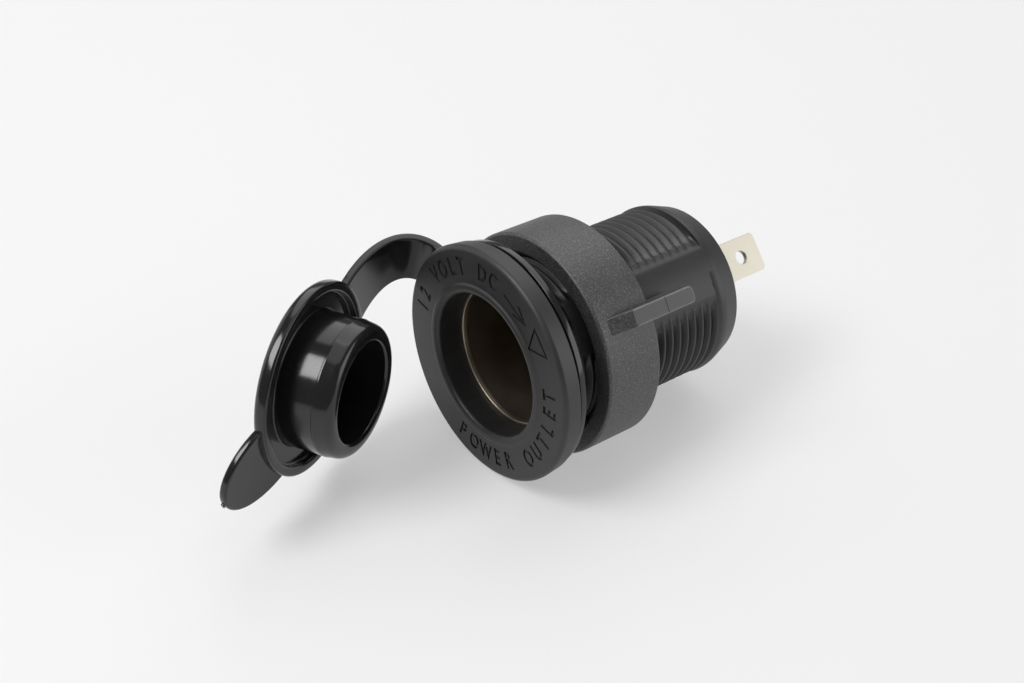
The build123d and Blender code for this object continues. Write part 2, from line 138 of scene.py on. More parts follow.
class HousingSizes(PropertyGroup):
    """Sizes of the moulded housing: bezel, lip, threaded barrel and rear end."""

    sides: IntProperty(name="Sides", description="Steps round each turned shape", default=216)
    bore: length("Bore", "Radius of the moulded bore", 11.3)
    cavity: length("Cavity", "Radius of the room behind the cup's shoulder", 11.0)
    shoulder: length("Shoulder", "Where the bore narrows to the cavity", 28.2)
    cavity_back: length("Cavity back", "Inner face of the rear wall", 35.4)
    barrel_end: length("Barrel end", "Outer face of the rear wall", 37.4)
    bezel: length("Bezel", "Radius of the bezel at its face", 18.8)
    bezel_draft: length("Bezel draft", "How much narrower the bezel is at its seat", 0.35)
    bezel_face: length("Bezel face", "Place of the bezel's face", -3.28)
    bezel_front_edge: length("Front edge", "Rounding of the bezel's front edge", 0.8)
    bezel_back_edge: length("Back edge", "Rounding of the bezel's back edge", 0.3)
    lip_top: length("Lip top", "Place of the lip's top", -3.58)
    mouth_edge: length("Mouth edge", "Rounding of the mouth's edge", 0.8)
    lip_width: length("Lip width", "Width of the lip at its top", 1.3)
    lip_foot: length("Lip foot", "How far the lip spreads at its foot", 0.4)
    lip_edge: length("Lip edge", "Rounding of the lip's outer edge", 0.45)
    lip_hollow: length("Lip hollow", "Hollow at the lip's foot", 0.4)
    seat_hollow: length("Seat hollow", "Hollow where the barrel meets the seat", 0.2)
    barrel: length("Barrel", "Radius of the barrel's plain bands", 14.0)
    crest: length("Crest", "Radius of the thread's crests", 13.78)
    root: length("Root", "Radius of the thread's grooves", 12.8)
    thread_start: length("Thread start", "Where the thread begins", 3.2)
    thread_end: length("Thread end", "Where the barrel starts to narrow", 33.6)
    thread_pitch: length("Thread pitch", "Step from groove to groove", 1.6)
    thread_land: length("Thread land", "Width of a crest", 0.35)
    thread_floor: length("Thread floor", "Width of a groove's floor", 0.12)
    thread_edge: length("Thread edge", "Rounding of the crests' edges", 0.12)
    thread_last: length("Thread last", "Place before which the last groove lies", 33.2)
    runout_angle: angle("Run-out", "Angle from a band's middle to a groove's full depth", 40)
    band_angle: angle("Band angle", "Place of the plain bands round the barrel", 42)
    collar_draft: length("Collar draft", "How much the collar narrows to the rear", 1.3)
    collar_round: length("Collar round", "Rounding where the collar starts to narrow", 4.0)
    rear_edge: length("Rear edge", "Rounding of the rear edge", 0.6)
    slot_clearance: length("Slot clearance", "Room round each blade in the rear wall", 0.15)
    mark_depth: length("Mark depth", "Depth of the marks in the bezel", 0.24)
    mark_radius: length("Mark radius", "Radius of the marks' middle line", 15.4)
    mark_line: length("Mark line", "Width of a straight engraved line", 0.32)
    letter_size: length("Letter size", "Type size of the engraved letters", 3.8)
    letter_width: share("Letter width", "Letter width over the font's own", 0.74)
    letter_weight: length("Letter weight", "How much bolder than the plain font they are", 0.1)
    upper_mark: words("Upper mark", "Engraved on the upper arc", "12 VOLT DC")
    upper_start: angle("Upper start", "Where the upper mark begins", 171)
    upper_step: angle("Upper step", "Turn from letter to letter of the upper mark", -9.5)
    lower_mark: words("Lower mark", "Engraved on the lower arc", "POWER OUTLET")
    lower_start: angle("Lower start", "Where the lower mark begins", 254)
    lower_step: angle("Lower step", "Turn from letter to letter of the lower mark", 10.8)


class NutSizes(PropertyGroup):
    """Sizes of the mounting nut and its wing bars."""

    bore: length("Bore", "Radius of the nut's bore", 14.2)
    radius: length("Radius", "Outer radius of the nut", 17.8)
    front: length("Front", "Place of the nut's front face", 6.05)
    back: length("Back", "Place of the nut's rear face", 16.05)
    edge: length("Edge", "Rounding of the nut's outer edges", 0.5)
    bore_edge: length("Bore edge", "Rounding of the bore's rear edge", 0.3)
    recess: length("Recess", "Slope at the mouth of the bore", 0.9)
    recess_depth: length("Recess depth", "How deep that slope goes", 0.8)
    recess_edge: length("Recess edge", "Rounding of the slope's outer edge", 0.15)
    thread_depth: length("Thread depth", "Depth of the thread in the nut's bore", 0.8)
    wing_angle: angle("Wing angle", "Place of the wings round the nut", 36.6)
    wing_width: length("Wing width", "Width of a wing", 2.6)
    wing_foot: length("Wing foot", "Radius at which a wing ends inside", 15.0)
    wing_top: length("Wing top", "Radius of a wing's top", 20.0)
    wing_ramp: length("Wing ramp", "Where a wing's ramp rises from the nut", 7.75)
    wing_front: length("Wing front", "Where a wing's flat top begins", 11.25)
    wing_back: length("Wing back", "Where a wing ends", 22.9)
    wing_corner: length("Wing corner", "Rounding of a wing's two rear corners", 0.8)
    wing_edge: length("Wing edge", "Rounding of a wing's edges", 0.25)
    wing_smooth: length("Wing smooth", "Height over the nut from which a wing is smooth", 0.15)
    wing_line: length("Wing line", "Place of the parting line across a wing", 17.3)
    line_width: length("Line width", "Width of the parting line", 0.1)
    line_depth: length("Line depth", "Depth of the parting line", 0.06)


class CapSizes(PropertyGroup):
    """Sizes of the rubber cap, its strap and its ring."""

    ring_bore: length("Ring bore", "Inner radius of the ring", 14.3)
    ring: length("Ring", "Outer radius of the ring", 18.0)
    ring_front: length("Ring front", "Front face of the ring", 0.9)
    ring_back: length("Ring back", "Rear face of the ring", 1.9)
    ring_edge: length("Ring edge", "Rounding of the ring's edges", 0.14)
    ring_bore_edge: length("Ring bore edge", "Rounding of the edges at the ring's bore", 0.15)
    ring_tilt: length("Ring tilt", "How far the loose ring leans at its edge", 0.4)
    ring_shift: length("Ring shift", "How far the loose ring lies forward in its room", 0.2)
    ring_tilt_angle: angle("Tilt angle", "Side on which the ring leans to the bezel", -15)
    strap_angle: angle("Strap angle", "Place of the strap round the ring", 163)
    strap_ring_width: length("Strap at the ring", "Width of the strap at the ring", 8.9)
    strap_cap_width: length("Strap at the cap", "Width of the strap at the cap", 9.6)
    strap_thickness: length("Strap thickness", "Thickness of the strap", 1.4)
    strap_steps: IntProperty(name="Strap steps", description="Steps along the strap", default=48)
    strap_edge: length("Strap edge", "Rounding of the strap's edges", 0.35)
    strap_lug: length("Strap lug", "How far the lugs stand out to meet the strap", 0.6)
    lug_root: length("Lug root", "How far from the ring's bore its lug begins", 0.5)
    strap_ring_pull: length("Pull at the ring", "How far the strap runs straight from the ring", 13.4)
    strap_cap_pull: length("Pull at the cap", "How far the strap runs straight from the cap", 35.6)
    flange: length("Flange", "Outer radius of the cap", 14.85)
    rim: length("Rim", "Inner radius of the cap's rim", 13.35)
    back: length("Back", "Place of the shut cap's outer face", -5.6)
    thickness: length("Thickness", "Height of the rim over the outer face", 2.3)
    floor: length("Floor", "Thickness of the flange inside its rim", 1.0)
    flange_edge: length("Flange edge", "Rounding of the flange's outer edge", 1.2)
    rim_edge: length("Rim edge", "Rounding of the rim's two edges", 0.4)
    groove_round: length("Groove round", "Rounding at the bottom of the groove", 0.3)
    plug: length("Plug", "Outer radius of the plug", 10.4)
    plug_length: length("Plug length", "Length of the plug from the outer face", 10.0)
    plug_hole: length("Plug hole", "Radius of the plug's hollow", 7.7)
    plug_taper: length("Plug taper", "How much the plug narrows behind its bead", 0.35)
    plug_tip: length("Plug tip", "Rounding of the plug's end", 1.5)
    plug_mouth: length("Plug mouth", "Rounding of the hollow's mouth", 0.6)
    web: length("Web", "Thickness at the bottom of the hollow", 1.5)
    web_round: length("Web round", "Rounding at the bottom of the hollow", 0.5)
    bead_start: length("Bead start", "Where the plug's bead begins", 6.9)
    bead_length: length("Bead length", "Length of the plug's bead", 0.5)
    bead_rise: length("Bead rise", "Height of the plug's bead", 0.06)
    bead_ramp: length("Bead ramp", "Length of the slope at each side of the bead", 0.15)
    bead_round: length("Bead round", "Rounding of the bead's edges", 0.05)
    tab_angle: angle("Tab angle", "Place of the pull tab, from the strap", 175)
    tab_lean: angle("Tab lean", "Lean of the pull tab away from the bezel", 15)
    tab_reach: length("Tab reach", "How far the pull tab stands out", 8.0)
    tab_root: length("Tab root", "How far the tab's ellipse starts inside the rim", 0.85)
    tab_width: length("Tab width", "Width of the pull tab", 12.7)
    tab_thickness: length("Tab thickness", "Thickness of the pull tab", 1.3)
    tab_edge: length("Tab edge", "Rounding of the pull tab's edges", 0.4)
    nib_width: length("Nib width", "Width of the nib at the tab's tip", 0.8)
    nib_reach: length("Nib reach", "How far the nib stands out", 0.3)
    nib_thickness: length("Nib thickness", "Thickness of the nib", 0.5)
    nib_edge: length("Nib edge", "Rounding of the nib's edges", 0.1)
    hinge_x: length("Hinge x", "Place of the strap's bend, sideways", -24.05)
    hinge_y: length("Hinge y", "Place of the strap's bend along the axis", -3.44)
    hinge_lean_out: angle("Lean out", "Lean of the bend away from the socket", 2.13)
    hinge_lean_front: angle("Lean front", "Lean of the bend to the front", 1.86)
    open_angle: angle("Open angle", "How far the cap is swung open", 61.6)


class ContactSizes(PropertyGroup):
    """Sizes of the metal cup and the blades."""

    cup_bore: length("Cup bore", "Inner radius of the cup", 10.6)
    cup_wall: length("Cup wall", "Thickness of the cup's wall", 0.6)
    cup_front: length("Cup front", "Front edge of the cup", 1.0)
    cup_back: length("Cup back", "Rear face of the cup", 31.0)
    cup_neck: length("Cup neck", "How much the cup's bottom is necked", 0.3)
    cup_flare: length("Cup flare", "Flare of the cup's front edge", 0.14)
    cup_flare_length: length("Flare length", "Length of that flare", 0.7)
    cup_flare_round: length("Flare round", "Rounding where the flare begins", 0.6)
    cup_inner_edge: length("Inner edge", "Rounding of the cup's inner front edge", 0.14)
    cup_outer_edge: length("Outer edge", "Rounding of the cup's outer front edge", 0.03)
    # Painted highlight: how far back from the cup's front the lighter edge tint reaches
    cup_highlight_depth: length("Bright edge", "How deep the bright front edge reaches", 0.12)
    cup_rear_edge: length("Rear edge", "Rounding of the cup's rear edge", 0.2)
    cup_floor_round: length("Floor round", "Rounding at the cup's floor", 0.4)
    cup_hole: length("Cup hole", "Radius of the hole in the cup's floor", 2.6)
    blade_width: length("Blade width", "Width of a blade", 6.3)
    blade_sheet: length("Blade sheet", "Thickness of a blade", 0.8)
    blade_end: length("Blade end", "Tip of the blades", 46.3)
    blade_tip: length("Blade tip", "Chamfer of a blade's tip", 0.5)
    blade_edge: length("Blade edge", "Rounding of a blade's edges", 0.08)
    blade_bend: length("Blade bend", "Inner rounding of a blade's bend", 0.5)
    blade_hole: length("Blade hole", "Radius of a blade's wire hole", 1.1)
    blade_hole_from_tip: length("Hole from tip", "Distance from a blade's tip to its hole", 4.0)
    negative_outer: length("Negative blade", "Outer side of the negative blade", 10.3)
    negative_foot: length("Negative foot", "Inner end of the negative blade's foot", 5.6)
    positive_outer: length("Positive blade", "Outer side of the positive blade", -5.0)
    positive_foot: length("Positive foot", "Far end of the positive blade's foot", 2.8)
    negative_seat: length("Negative seat", "Front of the negative blade's foot", 31.0)
    positive_seat: length("Positive seat", "Front of the positive blade's foot", 32.0)


class Finishes(PropertyGroup):
    """Colours of the socket's materials and of the stage."""

    housing: colour("Housing", "Satin black plastic of the housing", (0.015, 0.015, 0.0153))
    # Painted highlight: this lighter tint goes on the wings' top edges
    edge: colour("Edge", "Polished edges of the nut's wings", (0.13, 0.13, 0.13))
    nut: colour("Nut", "Grained black plastic of the nut", (0.018, 0.018, 0.0182))
    rubber: colour("Rubber", "Glossy black rubber of the cap", (0.0125, 0.0125, 0.0128))
    cup: colour("Cup", "Brass plating inside the cup", (0.33, 0.28, 0.22))
    # Painted highlight: lighter tint on the cup's front edge, standing in for its bright reflection
    cup_edge_highlight: colour("Cup edge", "Bright front edge of the metal cup", (0.46, 0.395, 0.31))
    brass: colour("Brass", "Contact brass", (0.72, 0.52, 0.24))
    blade: colour("Blade", "Nickel plating of the blades", (0.61, 0.575, 0.49))
    fibre: colour("Fibre", "Insulating fibre", (0.30, 0.09, 0.05))
    floor: colour("Floor", "Pale floor", (0.80, 0.80, 0.80))


class StageSettings(PropertyGroup):
    """The pale floor, the light all round and the camera."""

    floor_size: length("Floor size", "Width of the floor", 6000)
    floor_lean: angle("Floor lean", "Lean of the floor under the lying socket", 3.58)
    floor_drop: length("Floor drop", "How far the floor lies below the axis", 18.62)
    floor_roughness: share("Floor roughness", "Roughness of the floor", 0.8)
    floor_shine: share("Floor shine", "Specular level of the floor", 0.1)
    floor_glow: share("Floor glow", "Share of plain light in the floor as it is seen", 0.42)
    glow_strength: share("Glow strength", "Strength of that plain light", 0.92)
    sky: share("Sky", "Strength of the light from all round", 0.15)
    lens: share("Lens", "Focal length of the camera in mm", 53.96)
    sensor: share("Sensor", "Width of the camera's sensor in mm", 36)
    nearest: length("Nearest", "Nearest distance that the camera sees", 10)


def deselect():
    """Leaves edit mode and lets go of everything that is selected."""
    if bpy.context.object and bpy.context.object.mode != "OBJECT":
        bpy.ops.object.mode_set(mode="OBJECT")
    bpy.ops.object.select_all(action="DESELECT")


def pick(piece):
    """Makes one object the selected and active one."""
    deselect()
    piece.select_set(True)
    bpy.context.view_layer.objects.active = piece


def weld():
    """In edit mode: merges doubles and turns all faces outwards."""
    bpy.ops.mesh.select_all(action="SELECT")
    bpy.ops.mesh.remove_doubles(threshold=WELD)
    bpy.ops.mesh.normals_make_consistent(inside=False)


def named(piece, name):
    """Gives an object and its mesh one name."""
    piece.name = name
    piece.data.name = name
    return piece


def direction(turn):
    """Unit direction across the axis, turned from +X towards +Z."""
    return Vector((cos(turn), 0, sin(turn)))


def turn_matrix(turn):
    """Turn about the axis that takes +X to that direction."""
    return Matrix.Rotation(-turn, 4, "Y")


def set_down(piece, matrix):
    """Moves an object by a matrix and keeps the move in its mesh."""
    piece.matrix_world = matrix @ piece.matrix_world
    pick(piece)
    bpy.ops.object.transform_apply(location=True, rotation=True, scale=True)
    return piece


def rounded(corners, steps=5, closed=False):
    """Outline through corners of (radius, y), or (radius, y, rounding) where a corner is rounded."""
    outline = []
    for index, corner in enumerate(corners):
        point = Vector(corner[:2])
        if len(corner) == 2 or (not closed and index in (0, len(corners) - 1)):
            outline.append(point)
            continue
        back = (Vector(corners[index - 1][:2]) - point).normalized()
        ahead = (Vector(corners[(index + 1) % len(corners)][:2]) - point).normalized()
        half = back.angle(ahead) / 2
        center = point + (back + ahead).normalized() * (corner[2] / sin(half))
        arm = point + back * (corner[2] / tan(half)) - center
        sweep = pi - 2 * half
        if back.cross(ahead) > 0:
            sweep = -sweep
        for step in range(steps + 1):
            outline.append(center + Matrix.Rotation(sweep * step / steps, 2) @ arm)
    return outline


def drawn(name, outline, closed=False):
    """An outline of (x, y) points, drawn by extruding one vertex. Stays in edit mode."""
    deselect()
    bpy.ops.mesh.primitive_plane_add(size=MM)
    piece = named(bpy.context.object, name)
    bpy.ops.object.mode_set(mode="EDIT")
    bpy.ops.mesh.merge(type="CENTER")
    place = outline[0]
    bpy.ops.transform.translate(value=(place[0], place[1], 0))
    for point in list(outline[1:]) + ([outline[0]] if closed else []):
        step = (point[0] - place[0], point[1] - place[1], 0)
        bpy.ops.mesh.extrude_region_move(TRANSFORM_OT_translate={"value": step})
        place = point
    bpy.ops.mesh.select_all(action="SELECT")
    bpy.ops.mesh.remove_doubles(threshold=WELD)
    return piece


def turned(name, outline, sides, closed=False):
    """A turned shape: an outline of (radius, y) points spun about the axis."""
    piece = drawn(name, outline, closed)
    bpy.ops.mesh.select_all(action="SELECT")
    bpy.ops.mesh.spin(steps=sides, angle=tau, center=(0, 0, 0), axis=(0, 1, 0))
    weld()
    bpy.ops.object.mode_set(mode="OBJECT")
    return piece


def block(name, low, high):
    """A box between two corners."""
    deselect()
    low, high = Vector(low), Vector(high)
    bpy.ops.mesh.primitive_cube_add(size=1, location=(low + high) / 2, scale=high - low)
    piece = named(bpy.context.object, name)
    bpy.ops.object.transform_apply(location=True, rotation=True, scale=True)
    return piece


def prism(name, outline, depth):
    """A flat closed outline of (x, y) points, filled and extruded evenly to both sides along z."""
    piece = drawn(name, outline, closed=True)
    bpy.ops.mesh.select_all(action="SELECT")
    bpy.ops.mesh.edge_face_add()
    bpy.ops.transform.translate(value=(0, 0, -depth / 2))
    bpy.ops.mesh.extrude_region_move(TRANSFORM_OT_translate={"value": (0, 0, depth)})
    weld()
    bpy.ops.object.mode_set(mode="OBJECT")
    return piece


def bevel_edges(piece, test, width, steps):
    """Rounds the edges that pass a test on their two ends."""
    pick(piece)
    bpy.ops.object.mode_set(mode="EDIT")
    bpy.ops.mesh.select_all(action="DESELECT")
    bpy.ops.mesh.select_mode(type="EDGE")
    bpy.ops.object.mode_set(mode="OBJECT")
    vertices = piece.data.vertices
    for edge in piece.data.edges:
        start, end = edge.vertices
        edge.select = test(vertices[start].co, vertices[end].co)
    bpy.ops.object.mode_set(mode="EDIT")
    bpy.ops.mesh.bevel(offset=width, offset_type="OFFSET", segments=steps, affect="EDGES")
    bpy.ops.mesh.select_mode(type="VERT")
    bpy.ops.object.mode_set(mode="OBJECT")


def soften(piece, width, steps=3, limit=40):
    """Rounds every sharp edge of a piece."""
    pick(piece)
    bevel = piece.modifiers.new("edges", "BEVEL")
    bevel.width = width
    bevel.segments = steps
    bevel.limit_method = "ANGLE"
    bevel.angle_limit = radians(limit)
    bpy.ops.object.modifier_apply(modifier=bevel.name)


def combine(piece, other, operation):
    """Cuts or joins a second shape, which is used up."""
    pick(piece)
    boolean = piece.modifiers.new("combine", "BOOLEAN")
    boolean.operation = operation
    boolean.solver = "EXACT"
    boolean.object = other
    bpy.ops.object.modifier_apply(modifier=boolean.name)
    bpy.data.meshes.remove(other.data)


def joined(first, *others):
    """Joins objects into the first one."""
    pick(first)
    for other in others:
        other.select_set(True)
    bpy.ops.object.join()
    return first


def smooth(piece):
    """Smooth shading that keeps sharp edges and leaves flat faces flat."""
    pick(piece)
    bpy.ops.object.shade_smooth_by_angle(angle=SMOOTH_ANGLE)
    weighted = piece.modifiers.new("flat_faces", "WEIGHTED_NORMAL")
    weighted.keep_sharp = True
    bpy.ops.object.modifier_apply(modifier=weighted.name)


def dress(piece, material, body, slot, *nodes):
    """Finishes a piece: its material, the body that it rides on and the nodes that it stands for."""
    smooth(piece)
    piece.data.materials.clear()
    piece.data.materials.append(material)
    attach(piece, body)
    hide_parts(*nodes)


def link(tree, start, output, end, socket):
    """Links one node's output to another's input."""
    tree.links.new(start.outputs[output], end.inputs[socket])


def finish_material(name, tint):
    """One of the socket's finishes in a given tint."""
    return surface(name, tint, **SURFACES[name])


def surface(
    name,
    tint,
    roughness,
    mottle,
    grain,
    grain_depth,
    metallic=0.0,
    shine=0.5,
    cloud=0.16,
    spread=0.06,
    flecks=0,
):
    """A material with a cloudy tint, uneven gloss, a fine grain and light flecks, on object coordinates."""
    material = bpy.data.materials.new(name)
    material.use_nodes = True
    tree = material.node_tree
    shader = tree.nodes["Principled BSDF"]
    shader.inputs["Metallic"].default_value = metallic
    shader.inputs["Specular IOR Level"].default_value = shine
    place = tree.nodes.new("ShaderNodeTexCoord")
    clouds = tree.nodes.new("ShaderNodeTexNoise")
    clouds.inputs["Scale"].default_value = mottle
    clouds.inputs["Detail"].default_value = CLOUD_DETAIL
    link(tree, place, "Object", clouds, "Vector")
    tones = tree.nodes.new("ShaderNodeValToRGB")
    for element, position, strength in zip(tones.color_ramp.elements, CLOUD_TONES, (1 - cloud, 1 + cloud)):
        element.position = position
        element.color = (*[min(1, part * strength) for part in tint], 1)
    link(tree, clouds, "Fac", tones, "Fac")
    gloss = tree.nodes.new("ShaderNodeMapRange")
    gloss.inputs["To Min"].default_value = roughness - spread
    gloss.inputs["To Max"].default_value = roughness + spread
    link(tree, clouds, "Fac", gloss, "Value")
    link(tree, gloss, "Result", shader, "Roughness")
    speckle = tree.nodes.new("ShaderNodeTexNoise")
    speckle.inputs["Scale"].default_value = grain
    speckle.inputs["Detail"].default_value = GRAIN_DETAIL
    link(tree, place, "Object", speckle, "Vector")
    bump = tree.nodes.new("ShaderNodeBump")
    bump.inputs["Strength"].default_value = 1.0
    bump.inputs["Distance"].default_value = grain_depth
    link(tree, speckle, "Fac", bump, "Height")
    link(tree, bump, "Normal", shader, "Normal")
    spots = tree.nodes.new("ShaderNodeMapRange")
    spots.name = "fleck_share"
    spots.inputs["From Min"].default_value, spots.inputs["From Max"].default_value = FLECK_TONES
    spots.inputs["To Max"].default_value = flecks
    link(tree, speckle, "Fac", spots, "Value")
    blend = tree.nodes.new("ShaderNodeMix")
    blend.name = "fleck_blend"
    blend.data_type = "RGBA"
    blend.inputs[7].default_value = (*[min(1, part * FLECK_TINT) for part in tint], 1)
    link(tree, spots, "Result", blend, 0)
    link(tree, tones, "Color", blend, 6)
    link(tree, blend, 2, shader, "Base Color")
    return material


def beyond(tree, source, output, limit):
    """A node that gives 1 where another node's output is past a limit, and 0 elsewhere."""
    test = tree.nodes.new("ShaderNodeMath")
    test.operation = "GREATER_THAN"
    test.inputs[1].default_value = limit
    link(tree, source, output, test, 0)
    return test


def along_axis(tree):
    """A node whose Y output is the place along the socket's axis."""
    split = tree.nodes.new("ShaderNodeSeparateXYZ")
    link(tree, tree.nodes["Texture Coordinate"], "Object", split, "Vector")
    return split


def thread_stop(sizes):
    """Where the barrel's straight part ends and the rounding of its collar begins."""
    slope = atan2(sizes.collar_draft, sizes.barrel_end - sizes.thread_end)
    return sizes.thread_end - sizes.collar_round * tan(slope / 2) - BRIDGE


def thread_groove(crest, root, sizes):
    """Outline of one turn of a thread, from the middle of one crest to the next."""
    pitch = sizes.thread_pitch
    half_floor = sizes.thread_floor / 2
    half_land = sizes.thread_land / 2
    return rounded(
        [
            (crest, 0),
            (crest, half_land, sizes.thread_edge),
            (root, pitch / 2 - half_floor),
            (root, pitch / 2 + half_floor),
            (crest, pitch - half_land, sizes.thread_edge),
            (crest, pitch),
        ],
        steps=2,
    )


def screwed(name, outline, first, last, pitch, sides):
    """An outline of (radius, y) points, screwed along the axis from the first place past the last one."""
    sheet = drawn(name, [(point.x, point.y + first) for point in outline])
    bpy.ops.object.mode_set(mode="OBJECT")
    screw = sheet.modifiers.new("helix", "SCREW")
    screw.axis = "Y"
    screw.screw_offset = pitch
    screw.steps = screw.render_steps = sides
    screw.iterations = int((last - first) / pitch) + SPARE_TURNS
    screw.use_merge_vertices = True
    screw.merge_threshold = WELD
    pick(sheet)
    bpy.ops.object.modifier_apply(modifier=screw.name)
    return sheet


def trimmed(sheet, low, high):
    """Cuts a sheet square to the axis at both ends."""
    pick(sheet)
    bpy.ops.object.mode_set(mode="EDIT")
    for end, outwards in ((low, -1), (high, 1)):
        bpy.ops.mesh.select_all(action="SELECT")
        away = (0, outwards, 0)
        bpy.ops.mesh.bisect(plane_co=(0, end, 0), plane_no=away, clear_outer=True, threshold=WELD)
    weld()
    bpy.ops.object.mode_set(mode="OBJECT")
    return sheet


def thread_sheet(sizes):
    """The barrel's thread: one groove screwed along the barrel, which runs out beside two plain bands."""
    stop = thread_stop(sizes)
    pitch = sizes.thread_pitch
    groove = thread_groove(sizes.crest, sizes.root, sizes)
    first = sizes.thread_start - SPARE_TURNS * pitch
    sheet = screwed("thread_sheet", groove, first, stop, pitch, sizes.sides)
    last = first + int((sizes.thread_last - first) / pitch) * pitch
    for vertex in sheet.data.vertices:
        x, y, z = vertex.co
        radius = Vector((x, z)).length
        past_band = (sizes.band_angle - atan2(z, x)) % tau
        climb = pitch * (past_band - sizes.band_angle) / tau
        from_band = abs((atan2(z, x) - sizes.band_angle + pi / 2) % pi - pi / 2)
        wanted = radius
        if from_band < sizes.runout_angle:
            wanted = max(radius, min(sizes.barrel, sizes.root / cos(sizes.runout_angle - from_band)))
        past_end = max(first + SPARE_TURNS * pitch - y + climb, y - climb - last)
        if past_end > 0:
            wanted = sizes.crest + (sizes.barrel - sizes.crest) * min(1, past_end / (pitch / 2))
        vertex.co = (x * wanted / radius, y, z * wanted / radius)
    return trimmed(sheet, sizes.thread_start - BRIDGE, stop)


def bridge_rims(piece, low, high):
    """Bridges the two open rims that lie between two places along the axis."""
    pick(piece)
    bpy.ops.object.mode_set(mode="EDIT")
    bpy.ops.mesh.select_mode(type="EDGE")
    bpy.ops.mesh.select_all(action="DESELECT")
    bpy.ops.mesh.select_non_manifold(extend=False, use_wire=False, use_multi_face=False, use_verts=False)
    bpy.ops.object.mode_set(mode="OBJECT")
    vertices = piece.data.vertices
    for edge in piece.data.edges:
        inside = all(low < vertices[index].co.y < high for index in edge.vertices)
        edge.select = edge.select and inside
    bpy.ops.object.mode_set(mode="EDIT")
    bpy.ops.mesh.bridge_edge_loops()
    bpy.ops.mesh.select_mode(type="VERT")
    weld()
    bpy.ops.object.mode_set(mode="OBJECT")


def letter(character, sizes):
    """One narrow engraved letter, standing up along y and centred on its own middle."""
    deselect()
    bpy.ops.object.text_add()
    figure = bpy.context.object
    figure.data.body = character
    figure.data.align_x = "CENTER"
    figure.data.align_y = "CENTER"
    figure.data.size = sizes.letter_size
    figure.data.offset = sizes.letter_weight
    figure.data.extrude = sizes.mark_depth
    figure.data.resolution_u = 4
    figure.scale.x = sizes.letter_width
    bpy.ops.object.convert(target="MESH")
    bpy.ops.object.mode_set(mode="EDIT")
    weld()
    bpy.ops.object.mode_set(mode="OBJECT")
    return figure


def arc_marks(text, start, step, sizes, upright):
    """Letters set along an arc of the bezel's face, each turned to stand on the arc."""
    marks = []
    for index, character in enumerate(text):
        if character == " ":
            continue
        turn = start + index * step
        out = direction(turn)
        along = Vector((sin(turn), 0, -cos(turn)))
        if not upright:
            out, along = -out, -along
        middle = direction(turn) * sizes.mark_radius + Vector((0, sizes.bezel_face, 0))
        place = Matrix.Translation(middle) @ Matrix((along, out, Vector((0, -1, 0)))).transposed().to_4x4()
        figure = letter(character, sizes)
        marks.append(set_down(figure, place))
    return marks


def line_mark(points, sizes):
    """Straight engraved lines in the bezel's face, from point to point."""
    places = [direction(radians(turn)) * radius * MM for turn, radius in points]
    lines = []
    for start, end in zip(places, places[1:]):
        half = Vector(((end - start).length / 2 + sizes.mark_line / 2, sizes.mark_depth, sizes.mark_line / 2))
        line = block("line", -half, half)
        slant = atan2(end.z - start.z, end.x - start.x)
        middle = (start + end) / 2 + Vector((0, sizes.bezel_face, 0))
        lines.append(set_down(line, Matrix.Translation(middle) @ turn_matrix(slant)))
    for line in lines[1:]:
        combine(lines[0], line, "UNION")
    return lines[0]


